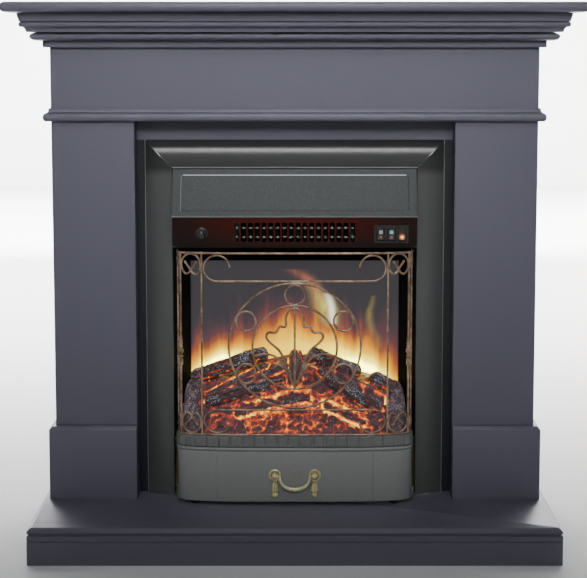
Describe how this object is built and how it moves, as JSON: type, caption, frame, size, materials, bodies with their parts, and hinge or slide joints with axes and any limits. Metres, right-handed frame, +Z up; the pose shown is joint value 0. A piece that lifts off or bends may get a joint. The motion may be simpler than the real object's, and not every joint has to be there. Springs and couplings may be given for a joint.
{
  "type": "electric fireplace suite",
  "caption": "Free-standing painted mantelpiece with an inset electric fire: smoked flame screen, ember bed with logs, wire screen, fan heater and pull-off ash-pan cover.",
  "frame": {"origin": "centre of the footprint on the floor", "axes": "+Z up, +X to the right seen from the front, the front faces -Y"},
  "size_m": [0.94, 0.39, 0.885],
  "materials": {
    "slate_paint": "satin paint on fibreboard",
    "black_steel": "satin black",
    "hood_steel": "fine textured graphite",
    "galvanised_steel": "plain",
    "antique_bronze": "antique bronze plating on wire",
    "aged_brass": "aged",
    "black_plastic": "moulded",
    "orange_plastic": "lit rocker",
    "smoked_glass": "smoked",
    "ember_moulding": "translucent painted moulding",
    "charred_log": "charred bark",
    "copper_winding": "laminations and winding",
    "circuit_board": "board with lamps"
  },
  "bodies": {
    "suite": {"base_top": "slate_paint", "base_frame": "slate_paint", "base_rear": "slate_paint", "pilaster_left": "slate_paint", "pilaster_right": "slate_paint", "side_panel_left": "slate_paint", "side_panel_right": "slate_paint", "plinth_left": "slate_paint", "plinth_right": "slate_paint", "breast_board": "slate_paint", "frieze_board": "slate_paint", "rear_top_rail": "slate_paint", "string_moulding": "slate_paint", "cornice": "slate_paint", "mantel_shelf": "slate_paint", "trim_left": "black_steel", "trim_right": "black_steel", "trim_top": "black_steel", "fuel_bed_chassis": "black_steel", "fret": "black_steel", "outlet_fascia": "black_steel", "firebox_liner": "black_steel", "hood_cover": "hood_steel", "firebox_casing": "galvanised_steel", "rear_cover": "galvanised_steel", "dimmer": "galvanised_steel", "heater_shelf": "galvanised_steel", "fan_housing": "galvanised_steel", "heating_element": "galvanised_steel", "spindle_motor": "galvanised_steel", "flame_reflector": "galvanised_steel", "cable_gland": "black_plastic", "foot_left": "black_plastic", "foot_right": "black_plastic", "switch_block": "black_plastic", "spindle_bush": "black_plastic", "flame_screen": "smoked_glass", "ember_bed": "ember_moulding", "log_back_left": "charred_log", "log_front_left": "charred_log", "log_back_right": "charred_log", "log_front_right": "charred_log", "log_end_right": "charred_log", "fan_motor": "copper_winding", "lamp_board": "circuit_board"},
    "rocker_1": {"rocker_switch_1": "black_plastic"},
    "rocker_2": {"rocker_switch_2": "black_plastic"},
    "rocker_3": {"rocker_switch_3": "orange_plastic"},
    "knob": {"dimmer_knob": "black_plastic"},
    "impeller": {"fan_impeller": "galvanised_steel"},
    "spindle": {"flame_spindle": "galvanised_steel"},
    "ash_cover": {"ash_pan_cover": "black_steel", "rosette_left": "aged_brass", "rosette_right": "aged_brass"},
    "bail": {"bail_handle": "aged_brass"},
    "screen": {"fire_screen": "antique_bronze", "screen_scroll_top": "antique_bronze", "screen_scroll_bottom": "antique_bronze", "screen_medallion": "antique_bronze"}
  },
  "joints": [
    {"name": "rocker_1_tip", "type": "hinge", "parent": "suite", "child": "rocker_1", "pos_m": [0.1409, -0.036, 0.509], "axis": [1, 0, 0], "range_deg": [0, 12]},
    {"name": "rocker_2_tip", "type": "hinge", "parent": "suite", "child": "rocker_2", "pos_m": [0.1583, -0.036, 0.509], "axis": [1, 0, 0], "range_deg": [0, 12]},
    {"name": "rocker_3_tip", "type": "hinge", "parent": "suite", "child": "rocker_3", "pos_m": [0.1757, -0.036, 0.509], "axis": [1, 0, 0], "range_deg": [0, 12]},
    {"name": "dimmer_turn", "type": "hinge", "parent": "suite", "child": "knob", "pos_m": [-0.1525, -0.0373, 0.509], "axis": [0, 1, 0], "range_deg": [-135, 135]},
    {"name": "fan_spin", "type": "hinge", "parent": "suite", "child": "impeller", "pos_m": [0, 0.014, 0.5188], "axis": [1, 0, 0], "continuous": true},
    {"name": "spindle_spin", "type": "hinge", "parent": "suite", "child": "spindle", "pos_m": [0, 0.09, 0.2], "axis": [1, 0, 0], "continuous": true},
    {"name": "ash_cover_pull", "type": "slide", "parent": "suite", "child": "ash_cover", "axis": [0, -1, 0], "range_m": [0, 0.15]},
    {"name": "bail_swing", "type": "hinge", "parent": "ash_cover", "child": "bail", "pos_m": [0, -0.075, 0.1125], "axis": [-1, 0, 0], "range_deg": [0, 85]},
    {"name": "screen_pull", "type": "slide", "parent": "suite", "child": "screen", "axis": [0, -1, 0], "range_m": [0, 0.15]}
  ]
}
